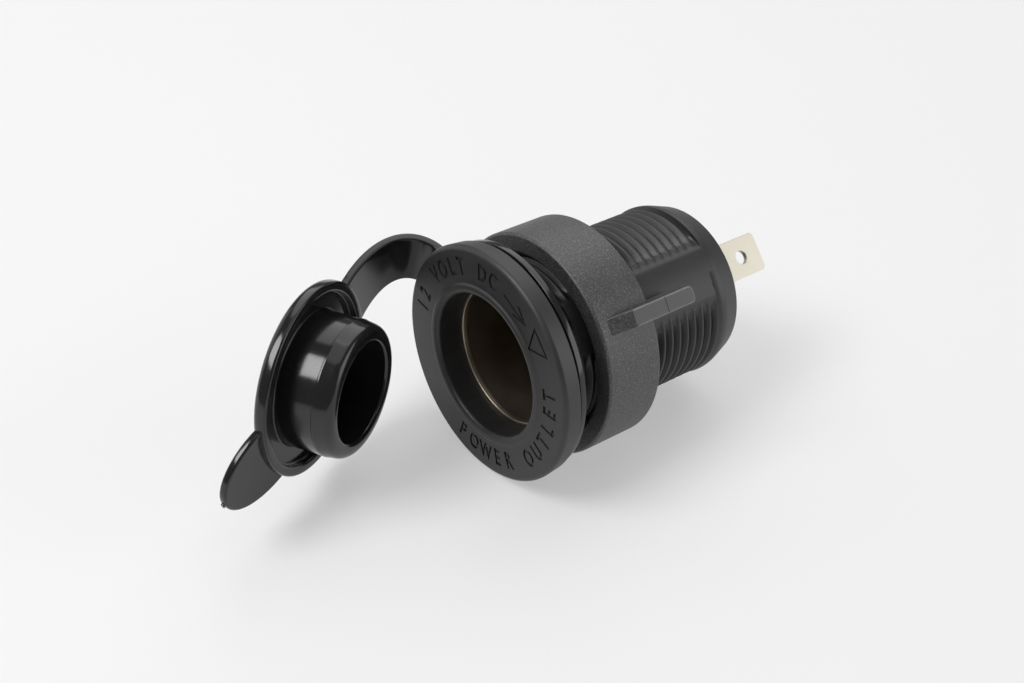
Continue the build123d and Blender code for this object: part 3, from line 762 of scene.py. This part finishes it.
class SOCKET_OT_housing(Operator):
    """Builds the housing: bezel with engraved marks, lip, bore, threaded barrel and rear end"""

    bl_idname = "socket.housing"
    bl_label = "Housing"

    def marks(self, sizes):
        """All the engraved marks as one cutter: two arcs of letters, an arrow and a triangle."""
        marks = arc_marks(sizes.upper_mark, sizes.upper_start, sizes.upper_step, sizes, True)
        marks += arc_marks(sizes.lower_mark, sizes.lower_start, sizes.lower_step, sizes, False)
        arrow = line_mark(ARROW_SHAFT, sizes)
        combine(arrow, line_mark(ARROW_BARB, sizes), "UNION")
        return joined(*marks, arrow, line_mark(TRIANGLE, sizes))

    def execute(self, context):
        sizes = context.scene.socket_housing
        contacts = context.scene.socket_contacts
        seat_r = sizes.bezel - sizes.bezel_draft
        collar = sizes.barrel - sizes.collar_draft
        stop = thread_stop(sizes)
        front = turned(
            "socket_body",
            rounded(
                [
                    (sizes.barrel, sizes.thread_start - 3 * BRIDGE),
                    (sizes.barrel, 0, sizes.seat_hollow),
                    (seat_r, 0, sizes.bezel_back_edge),
                    (sizes.bezel, sizes.bezel_face, sizes.bezel_front_edge),
                    (sizes.bore + sizes.lip_width + sizes.lip_foot, sizes.bezel_face, sizes.lip_hollow),
                    (sizes.bore + sizes.lip_width, sizes.lip_top, sizes.lip_edge),
                    (sizes.bore, sizes.lip_top, sizes.mouth_edge),
                    (sizes.bore, sizes.shoulder),
                    (sizes.cavity, sizes.shoulder),
                    (sizes.cavity, sizes.cavity_back),
                    (0, sizes.cavity_back),
                ]
            ),
            sizes.sides,
        )
        rear = turned(
            "rear_end",
            rounded(
                [
                    (0, sizes.barrel_end),
                    (collar, sizes.barrel_end, sizes.rear_edge),
                    (sizes.barrel, sizes.thread_end, sizes.collar_round),
                    (sizes.barrel, stop + BRIDGE),
                ]
            ),
            sizes.sides,
        )
        housing = joined(front, rear, thread_sheet(sizes))
        bridge_rims(housing, sizes.thread_start - 3 * BRIDGE - HAIR, sizes.thread_start - BRIDGE + HAIR)
        bridge_rims(housing, stop - HAIR, stop + BRIDGE + HAIR)
        room = sizes.slot_clearance
        half = contacts.blade_width / 2 + room
        for outer in (contacts.negative_outer, contacts.positive_outer + contacts.blade_sheet):
            low = (outer - contacts.blade_sheet - room, sizes.cavity_back - MM, -half)
            slot = block("slot", low, (outer + room, sizes.barrel_end + MM, half))
            combine(housing, set_down(slot, turn_matrix(sizes.band_angle)), "DIFFERENCE")
        combine(housing, self.marks(sizes), "DIFFERENCE")
        plastic = finish_material("housing_plastic", context.scene.socket_finishes.housing)
        dress(housing, plastic, "socket", "housing_plastic", "socket_housing")
        return {"FINISHED"}


class SOCKET_OT_contacts(Operator):
    """Builds the metal cup and the two blades, and finishes the contacts at the cup's bottom"""

    bl_idname = "socket.contacts"
    bl_label = "Contacts"

    def blade(self, name, outer, foot_end, seat, material, node, context):
        """A bent sheet blade: foot square to the axis, chamfered tip and a wire hole."""
        sizes = context.scene.socket_contacts
        side = 1 if outer > 0 else -1
        inner = outer - side * sizes.blade_sheet
        rear = seat + sizes.blade_sheet
        outline = rounded(
            [
                (foot_end, seat),
                (outer, seat, sizes.blade_bend + sizes.blade_sheet),
                (outer, sizes.blade_end),
                (inner, sizes.blade_end),
                (inner, rear, sizes.blade_bend),
                (foot_end, rear),
            ],
            closed=True,
        )
        piece = prism(name, outline, sizes.blade_width)
        tip, half = sizes.blade_end - HAIR, sizes.blade_width / 2 - HAIR
        for end in (-1, 1):
            bevel_edges(
                piece,
                lambda a, b: min(a.y, b.y) > tip and min(a.z * end, b.z * end) > half,
                sizes.blade_tip,
                1,
            )
        deselect()
        bpy.ops.mesh.primitive_cylinder_add(
            vertices=HOLE_SIDES,
            radius=sizes.blade_hole,
            depth=4 * sizes.blade_sheet,
            location=((outer + inner) / 2, sizes.blade_end - sizes.blade_hole_from_tip, 0),
            rotation=(0, pi / 2, 0),
        )
        hole = bpy.context.object
        bpy.ops.object.transform_apply(location=True, rotation=True, scale=True)
        combine(piece, hole, "DIFFERENCE")
        soften(piece, sizes.blade_edge, 2)
        set_down(piece, turn_matrix(context.scene.socket_housing.band_angle))
        dress(piece, material, "socket", "blade_metal", node)

    def cup(self, context):
        """The metal cup that lines the bore, with a lighter tint painted on its front edge as a highlight."""
        sizes = context.scene.socket_contacts
        finishes = context.scene.socket_finishes
        outer = sizes.cup_bore + sizes.cup_wall
        neck = sizes.cup_bore - sizes.cup_neck
        shoulder = context.scene.socket_housing.shoulder
        cup = turned(
            "metal_cup",
            rounded(
                [
                    (sizes.cup_bore + sizes.cup_flare, sizes.cup_front, sizes.cup_inner_edge),
                    (outer, sizes.cup_front, sizes.cup_outer_edge),
                    (outer, shoulder),
                    (outer - sizes.cup_neck, shoulder),
                    (outer - sizes.cup_neck, sizes.cup_back, sizes.cup_rear_edge),
                    (sizes.cup_hole, sizes.cup_back),
                    (sizes.cup_hole, sizes.cup_back - sizes.cup_wall),
                    (neck, sizes.cup_back - sizes.cup_wall, sizes.cup_floor_round),
                    (neck, shoulder - sizes.cup_wall),
                    (sizes.cup_bore, shoulder - sizes.cup_wall),
                    (sizes.cup_bore, sizes.cup_front + sizes.cup_flare_length, sizes.cup_flare_round),
                ],
                steps=3,
                closed=True,
            ),
            context.scene.socket_housing.sides,
            closed=True,
        )
        plating = finish_material("cup_plating", finishes.cup)
        tree = plating.node_tree
        # Painted highlight: the first part of the cup behind its front edge takes the lighter edge tint
        edge = tree.nodes.new("ShaderNodeMix")
        edge.data_type = "RGBA"
        edge.inputs[6].default_value = (*finishes.cup_edge_highlight, 1)
        link(tree, beyond(tree, along_axis(tree), "Y", sizes.cup_front + sizes.cup_highlight_depth), 0, edge, 0)
        link(tree, tree.nodes["fleck_blend"], 2, edge, 7)
        link(tree, edge, 2, tree.nodes["Principled BSDF"], "Base Color")
        dress(cup, plating, "socket", "shell_metal", "contact_shell")

    def execute(self, context):
        sizes = context.scene.socket_contacts
        finishes = context.scene.socket_finishes
        self.cup(context)
        nickel = finish_material("blade_nickel", finishes.blade)
        negative = (sizes.negative_outer, sizes.negative_foot, sizes.negative_seat)
        positive = (sizes.positive_outer, sizes.positive_foot, sizes.positive_seat)
        self.blade("blade_negative", *negative, nickel, "negative_blade", context)
        self.blade("blade_positive", *positive, nickel, "positive_blade", context)
        brass = finish_material("contact_brass", finishes.brass)
        fibre = finish_material("insulator_fibre", finishes.fibre)
        for node, material in (
            ("center_contact", brass),
            ("center_rivet", brass),
            ("negative_rivet", nickel),
            ("insulator_bush", fibre),
            ("insulator_washer", fibre),
        ):
            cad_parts[node].data.materials.clear()
            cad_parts[node].data.materials.append(material)
        return {"FINISHED"}


def grained_material(context):
    """The nut's plastic: a sparkling grain everywhere but on the smooth wings."""
    sizes = context.scene.socket_nut
    tint = context.scene.socket_finishes.nut
    material = finish_material("nut_plastic", tint)
    tree = material.node_tree
    across = tree.nodes.new("ShaderNodeVectorMath")
    across.operation = "MULTIPLY"
    across.inputs[1].default_value = (1, 0, 1)
    link(tree, tree.nodes["Texture Coordinate"], "Object", across, 0)
    radius = tree.nodes.new("ShaderNodeVectorMath")
    radius.operation = "LENGTH"
    link(tree, across, 0, radius, 0)
    on_wing = tree.nodes.new("ShaderNodeMath")
    on_wing.operation = "MULTIPLY"
    link(tree, beyond(tree, radius, "Value", sizes.radius + sizes.wing_smooth), 0, on_wing, 0)
    link(tree, beyond(tree, along_axis(tree), "Y", sizes.wing_front), 0, on_wing, 1)
    grain = tree.nodes.new("ShaderNodeMath")
    grain.operation = "MULTIPLY_ADD"
    grain.inputs[1].default_value = WING_GRAIN - 1
    grain.inputs[2].default_value = 1
    link(tree, on_wing, 0, grain, 0)
    link(tree, grain, 0, tree.nodes["Bump"], "Strength")
    flecks = tree.nodes.new("ShaderNodeMath")
    flecks.operation = "MULTIPLY"
    link(tree, grain, 0, flecks, 0)
    link(tree, tree.nodes["fleck_share"], "Result", flecks, 1)
    link(tree, flecks, 0, tree.nodes["fleck_blend"], 0)
    return material


class SOCKET_OT_nut(Operator):
    """Builds the mounting nut with its thread and its two ramped wings"""

    bl_idname = "socket.nut"
    bl_label = "Mounting Nut"

    def thread(self, context, low, high):
        """The thread inside the nut, whose depth fades over one turn at both ends."""
        sizes = context.scene.socket_nut
        housing = context.scene.socket_housing
        pitch = housing.thread_pitch
        groove = thread_groove(sizes.bore, sizes.bore + sizes.thread_depth, housing)
        sheet = screwed("nut_thread", groove, low - SPARE_TURNS * pitch, high, pitch, housing.sides)
        for vertex in sheet.data.vertices:
            x, y, z = vertex.co
            radius = Vector((x, z)).length
            depth = max(0, min(1, (y - low) / pitch, (high - y) / pitch))
            wanted = sizes.bore + (radius - sizes.bore) * depth
            vertex.co = (x * wanted / radius, y, z * wanted / radius)
        return trimmed(sheet, low, high)

    def wing(self, sizes):
        """One wing bar on the +X side: a ramp, a flat top and a parting line across it."""
        wing = prism(
            "wing",
            [
                (sizes.wing_foot, sizes.wing_ramp),
                (sizes.radius, sizes.wing_ramp),
                (sizes.wing_top, sizes.wing_front),
                (sizes.wing_top, sizes.wing_back),
                (sizes.wing_foot, sizes.wing_back),
            ],
            sizes.wing_width,
        )
        rear = sizes.wing_back - HAIR
        bevel_edges(wing, lambda a, b: min(a.y, b.y) > rear and a.z * b.z > 0, sizes.wing_corner, 6)
        soften(wing, sizes.wing_edge, 3, 25)
        half = sizes.wing_width / 2 + HAIR
        line = block(
            "parting_line",
            (sizes.wing_top - sizes.line_depth, sizes.wing_line, -half),
            (sizes.wing_top + MM, sizes.wing_line + sizes.line_width, half),
        )
        combine(wing, line, "DIFFERENCE")
        return wing

    def paint_edge_highlight(self, nut, sizes):
        """Gives the rounded edges on top of both wings a glossier finish, with a lighter tint painted on them
        as their highlight.
        """
        top = (sizes.wing_top + sizes.radius) / 2
        least, most = EDGE_HIGHLIGHT_FACING
        for face in nut.data.polygons:
            for turn in (sizes.wing_angle, sizes.wing_angle + pi):
                outwards = face.normal.dot(direction(turn))
                on_top = face.center.y > sizes.wing_front and face.center.dot(direction(turn)) > top
                if on_top and least < outwards < most:
                    face.material_index = 1

    def execute(self, context):
        sizes = context.scene.socket_nut
        low, high = sizes.front + sizes.recess_depth, sizes.back - sizes.bore_edge - BRIDGE
        nut = turned(
            "ring_nut",
            rounded(
                [
                    (sizes.bore, low),
                    (sizes.bore + sizes.recess, sizes.front, sizes.recess_edge),
                    (sizes.radius, sizes.front, sizes.edge),
                    (sizes.radius, sizes.back, sizes.edge),
                    (sizes.bore, sizes.back, sizes.bore_edge),
                    (sizes.bore, high),
                ]
            ),
            context.scene.socket_housing.sides,
        )
        joined(nut, self.thread(context, low + BRIDGE, high - BRIDGE))
        bridge_rims(nut, low - HAIR, low + BRIDGE + HAIR)
        bridge_rims(nut, high - BRIDGE - HAIR, high + HAIR)
        for turn in (sizes.wing_angle, sizes.wing_angle + pi):
            combine(nut, set_down(self.wing(sizes), turn_matrix(turn)), "UNION")
        dress(nut, grained_material(context), "nut", "nut_plastic", "mounting_nut")
        # Second material: a lighter tint painted on the wings' top edges as their highlight
        nut.data.materials.append(finish_material("nut_edge_highlight", context.scene.socket_finishes.edge))
        self.paint_edge_highlight(nut, sizes)
        return {"FINISHED"}


def open_turn(sizes):
    """Swings the shut cap open about the bend of its strap."""
    bend = Matrix.Translation((sizes.hinge_x, sizes.hinge_y, 0))
    lean = Vector((-tan(sizes.hinge_lean_out), -tan(sizes.hinge_lean_front), 1)).normalized()
    return bend @ Matrix.Rotation(-sizes.open_angle, 4, lean) @ bend.inverted()


def rubber_material(context):
    """The cap's glossy rubber, made once."""
    found = bpy.data.materials.get("cap_rubber")
    if found:
        return found
    finishes = context.scene.socket_finishes
    return finish_material("cap_rubber", finishes.rubber)


def ring_lean(place, sizes):
    """How far the loose ring is pushed along the axis at a place, because it lies askew on the barrel."""
    tilt = sizes.ring_tilt * place.dot(direction(sizes.ring_tilt_angle)) / sizes.ring
    return -sizes.ring_shift - tilt


def round_long_edges(piece, sizes):
    """Rounds the edges that run along the strap."""
    bevel_edges(piece, lambda a, b: abs(a.x - b.x) > HAIR, sizes.strap_edge, 4)


class SOCKET_OT_ring(Operator):
    """Builds the rubber ring round the barrel, with the lug where the strap starts"""

    bl_idname = "socket.ring"
    bl_label = "Cap Ring"

    def execute(self, context):
        sizes = context.scene.socket_cap
        ring = turned(
            "tether_ring",
            rounded(
                [
                    (sizes.ring_bore, sizes.ring_front, sizes.ring_bore_edge),
                    (sizes.ring, sizes.ring_front, sizes.ring_edge),
                    (sizes.ring, sizes.ring_back, sizes.ring_edge),
                    (sizes.ring_bore, sizes.ring_back, sizes.ring_bore_edge),
                ],
                closed=True,
            ),
            context.scene.socket_housing.sides,
            closed=True,
        )
        middle = (sizes.ring_front + sizes.ring_back) / 2
        half_width, half_thickness = sizes.strap_ring_width / 2, sizes.strap_thickness / 2
        lug = block(
            "ring_lug",
            (sizes.ring_bore + sizes.lug_root, middle - half_thickness, -half_width),
            (sizes.ring + sizes.strap_lug, middle + half_thickness, half_width),
        )
        round_long_edges(lug, sizes)
        combine(ring, set_down(lug, turn_matrix(sizes.strap_angle)), "UNION")
        for vertex in ring.data.vertices:
            vertex.co.y += ring_lean(vertex.co, sizes)
        dress(ring, rubber_material(context), "ring", "soft_rubber", "cap_ring")
        return {"FINISHED"}


class SOCKET_OT_strap(Operator):
    """Builds the flat strap that curls from the ring to the cap"""

    bl_idname = "socket.strap"
    bl_label = "Strap"

    def execute(self, context):
        sizes = context.scene.socket_cap
        swing = open_turn(sizes)
        out, across = direction(sizes.strap_angle), direction(sizes.strap_angle - pi / 2)
        start = out * (sizes.ring + sizes.strap_lug)
        start.y = (sizes.ring_front + sizes.ring_back) / 2 + ring_lean(start, sizes)
        shut_end = out * (sizes.flange + sizes.strap_lug)
        shut_end.y = sizes.back + sizes.strap_thickness / 2
        end = swing @ shut_end
        turn = swing.to_3x3()
        start_pull = out * sizes.strap_ring_pull
        end_pull = turn @ out * -sizes.strap_cap_pull
        end_across = turn @ across
        half_width, half_thickness = sizes.strap_ring_width / 2, sizes.strap_thickness / 2
        strap = block("cap_tether", (0, -half_width, -half_thickness), (1, half_width, half_thickness))
        round_long_edges(strap, sizes)
        pick(strap)
        bpy.ops.object.mode_set(mode="EDIT")
        for cut in range(1, sizes.strap_steps):
            bpy.ops.mesh.select_all(action="SELECT")
            bpy.ops.mesh.bisect(plane_co=(cut / sizes.strap_steps, 0, 0), plane_no=(1, 0, 0))
        weld()
        bpy.ops.object.mode_set(mode="OBJECT")
        for vertex in strap.data.vertices:
            t, side, rise = vertex.co
            middle = (
                start * (2 * t**3 - 3 * t**2 + 1)
                + start_pull * (t**3 - 2 * t**2 + t)
                + end * (3 * t**2 - 2 * t**3)
                + end_pull * (t**3 - t**2)
            )
            along = (
                (start - end) * (6 * t**2 - 6 * t)
                + start_pull * (3 * t**2 - 4 * t + 1)
                + end_pull * (3 * t**2 - 2 * t)
            ).normalized()
            lean = across * (1 - t) + end_across * t
            lean = (lean - along * lean.dot(along)).normalized()
            side *= 1 + (sizes.strap_cap_width / sizes.strap_ring_width - 1) * t
            vertex.co = middle + lean * side + along.cross(lean) * rise
        smooth(strap)
        strap.data.materials.clear()
        strap.data.materials.append(rubber_material(context))
        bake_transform(strap)
        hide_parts("cap_strap")
        return {"FINISHED"}


class SOCKET_OT_cap(Operator):
    """Builds the rubber cap: rimmed flange, hollow plug, pull tab and the lug for the strap"""

    bl_idname = "socket.cap"
    bl_label = "Cap"

    def pull_tab(self, context):
        """The pull tab with its nib, laid against the shut cap's flange and cut free inside the rim."""
        sizes = context.scene.socket_cap
        deselect()
        bpy.ops.mesh.primitive_circle_add(vertices=TAB_SIDES, radius=1, fill_type="NGON")
        tab = named(bpy.context.object, "tab")
        reach = sizes.tab_reach + sizes.tab_root
        tab.scale = (reach, sizes.tab_width / 2, 1)
        bpy.ops.object.transform_apply(location=False, rotation=False, scale=True)
        bpy.ops.object.mode_set(mode="EDIT")
        bpy.ops.mesh.extrude_region_move(TRANSFORM_OT_translate={"value": (0, 0, sizes.tab_thickness)})
        weld()
        bpy.ops.object.mode_set(mode="OBJECT")
        soften(tab, sizes.tab_edge, 4)
        nib = block(
            "nib",
            (reach - sizes.nib_reach, -sizes.nib_width / 2, (sizes.tab_thickness - sizes.nib_thickness) / 2),
            (reach + sizes.nib_reach, sizes.nib_width / 2, (sizes.tab_thickness + sizes.nib_thickness) / 2),
        )
        soften(nib, sizes.nib_edge, 2)
        combine(tab, nib, "UNION")
        flat, rise = cos(sizes.tab_lean), sin(sizes.tab_lean)
        root = sizes.flange - sizes.tab_root
        lie_down = Matrix(((flat, 0, rise, root), (-rise, 0, flat, sizes.back), (0, -1, 0, 0), (0, 0, 0, 1)))
        set_down(tab, turn_matrix(sizes.strap_angle + sizes.tab_angle) @ lie_down)
        inside = (sizes.flange + sizes.rim) / 2
        low, high = sizes.back - sizes.tab_reach, sizes.back + sizes.tab_reach
        cutter = turned(
            "tab_cutter",
            [(0, low), (inside, low), (inside, high), (0, high)],
            context.scene.socket_housing.sides,
        )
        combine(tab, cutter, "DIFFERENCE")
        return tab

    def execute(self, context):
        sizes = context.scene.socket_cap
        back, top = sizes.back, sizes.back + sizes.thickness
        plug_end = back + sizes.plug_length
        bead = back + sizes.bead_start
        bead_end = bead + sizes.bead_length
        cap = turned(
            "rubber_cap",
            rounded(
                [
                    (0, back),
                    (sizes.flange, back, sizes.flange_edge),
                    (sizes.flange, top, sizes.rim_edge),
                    (sizes.rim, top, sizes.rim_edge),
                    (sizes.rim, back + sizes.floor, sizes.groove_round),
                    (sizes.plug, back + sizes.floor, sizes.groove_round),
                    (sizes.plug, bead),
                    (sizes.plug + sizes.bead_rise, bead + sizes.bead_ramp, sizes.bead_round),
                    (sizes.plug + sizes.bead_rise, bead_end - sizes.bead_ramp, sizes.bead_round),
                    (sizes.plug, bead_end),
                    (sizes.plug - sizes.plug_taper, plug_end, sizes.plug_tip),
                    (sizes.plug_hole, plug_end, sizes.plug_mouth),
                    (sizes.plug_hole, back + sizes.web, sizes.web_round),
                    (0, back + sizes.web),
                ],
                steps=6,
            ),
            context.scene.socket_housing.sides,
        )
        combine(cap, self.pull_tab(context), "UNION")
        half = sizes.strap_cap_width / 2
        lug = block(
            "cap_lug",
            ((sizes.flange + sizes.rim) / 2, back, -half),
            (sizes.flange + sizes.strap_lug, back + sizes.strap_thickness, half),
        )
        round_long_edges(lug, sizes)
        combine(cap, set_down(lug, turn_matrix(sizes.strap_angle)), "UNION")
        set_down(cap, open_turn(sizes))
        dress(cap, rubber_material(context), "cap", "soft_rubber", "cap")
        return {"FINISHED"}


class SOCKET_OT_stage(Operator):
    """Sets up the pale floor, the soft studio light and the camera"""

    bl_idname = "socket.stage"
    bl_label = "Stage"

    def floor(self, context):
        """The pale floor, part of whose light is its own where it is seen."""
        settings = context.scene.socket_stage
        deselect()
        lean = settings.floor_lean
        below = Vector((0, sin(lean), -cos(lean))) * settings.floor_drop
        bpy.ops.mesh.primitive_plane_add(size=settings.floor_size, location=below, rotation=(lean, 0, 0))
        floor = named(bpy.context.object, "floor")
        pale = bpy.data.materials.new("pale_floor")
        pale.use_nodes = True
        tree = pale.node_tree
        shader = tree.nodes["Principled BSDF"]
        shader.inputs["Base Color"].default_value = (*context.scene.socket_finishes.floor, 1)
        shader.inputs["Roughness"].default_value = settings.floor_roughness
        shader.inputs["Specular IOR Level"].default_value = settings.floor_shine
        path = tree.nodes.new("ShaderNodeLightPath")
        seen = tree.nodes.new("ShaderNodeMath")
        seen.operation = "MAXIMUM"
        link(tree, path, "Is Camera Ray", seen, 0)
        link(tree, path, "Is Glossy Ray", seen, 1)
        part = tree.nodes.new("ShaderNodeMath")
        part.operation = "MULTIPLY"
        part.inputs[1].default_value = settings.floor_glow
        link(tree, seen, 0, part, 0)
        glow = tree.nodes.new("ShaderNodeEmission")
        glow.inputs["Strength"].default_value = settings.glow_strength
        mix = tree.nodes.new("ShaderNodeMixShader")
        link(tree, part, 0, mix, 0)
        link(tree, shader, 0, mix, 1)
        link(tree, glow, 0, mix, 2)
        link(tree, mix, 0, tree.nodes["Material Output"], "Surface")
        floor.data.materials.append(pale)

    def lamps(self, context):
        """Soft lamps turned to the socket, and an even light from all round."""
        for name, place, size, power in LAMPS:
            bpy.ops.object.light_add(type="AREA", location=place)
            lamp = named(bpy.context.object, name)
            lamp.data.shape = "RECTANGLE"
            lamp.data.size = lamp.data.size_y = size
            lamp.data.energy = power
            lamp.rotation_euler = (-Vector(place)).to_track_quat("-Z", "Y").to_euler()
        world = bpy.data.worlds.new("studio")
        world.use_nodes = True
        sky = world.node_tree.nodes["Background"]
        sky.inputs["Color"].default_value = (1, 1, 1, 1)
        sky.inputs["Strength"].default_value = context.scene.socket_stage.sky
        context.scene.world = world

    def camera(self, context):
        """The camera of the main view."""
        settings = context.scene.socket_stage
        bpy.ops.object.camera_add()
        camera = named(bpy.context.object, "photo_camera")
        turn = Matrix((CAMERA_RIGHT, CAMERA_UP, -Vector(CAMERA_AHEAD))).transposed().to_4x4()
        camera.matrix_world = Matrix.Translation(Vector(CAMERA_PLACE) * MM) @ turn
        camera.data.sensor_width = settings.sensor
        camera.data.lens = settings.lens
        camera.data.clip_start = settings.nearest
        context.scene.camera = camera

    def execute(self, context):
        self.floor(context)
        self.lamps(context)
        self.camera(context)
        context.scene.view_settings.view_transform = "Standard"
        return {"FINISHED"}


class SOCKET_PT_pieces(Panel):
    """Lists the socket's pieces and the stage"""

    bl_idname = "SOCKET_PT_pieces"
    bl_label = "Panel Power Socket"
    bl_space_type = "VIEW_3D"
    bl_region_type = "UI"
    bl_category = "Socket"

    def draw(self, context):
        for operator in OPERATORS:
            self.layout.operator(operator.bl_idname)


OPERATORS = (
    SOCKET_OT_housing,
    SOCKET_OT_contacts,
    SOCKET_OT_nut,
    SOCKET_OT_ring,
    SOCKET_OT_strap,
    SOCKET_OT_cap,
    SOCKET_OT_stage,
)
GROUPS = {
    "socket_housing": HousingSizes,
    "socket_nut": NutSizes,
    "socket_cap": CapSizes,
    "socket_contacts": ContactSizes,
    "socket_finishes": Finishes,
    "socket_stage": StageSettings,
}


def register():
    """Registers the property groups, the operators and the panel."""
    for name, group in GROUPS.items():
        bpy.utils.register_class(group)
        setattr(bpy.types.Scene, name, PointerProperty(type=group))
    for item in (*OPERATORS, SOCKET_PT_pieces):
        bpy.utils.register_class(item)


def unregister():
    """Takes everything that register added away again."""
    for item in (SOCKET_PT_pieces, *reversed(OPERATORS)):
        bpy.utils.unregister_class(item)
    for name, group in reversed(GROUPS.items()):
        delattr(bpy.types.Scene, name)
        bpy.utils.unregister_class(group)


def main():
    """Builds every piece and the stage."""
    register()
    bpy.ops.socket.housing()
    bpy.ops.socket.contacts()
    bpy.ops.socket.nut()
    bpy.ops.socket.ring()
    bpy.ops.socket.strap()
    bpy.ops.socket.cap()
    bpy.ops.socket.stage()


if __name__ == "__main__":
    main()
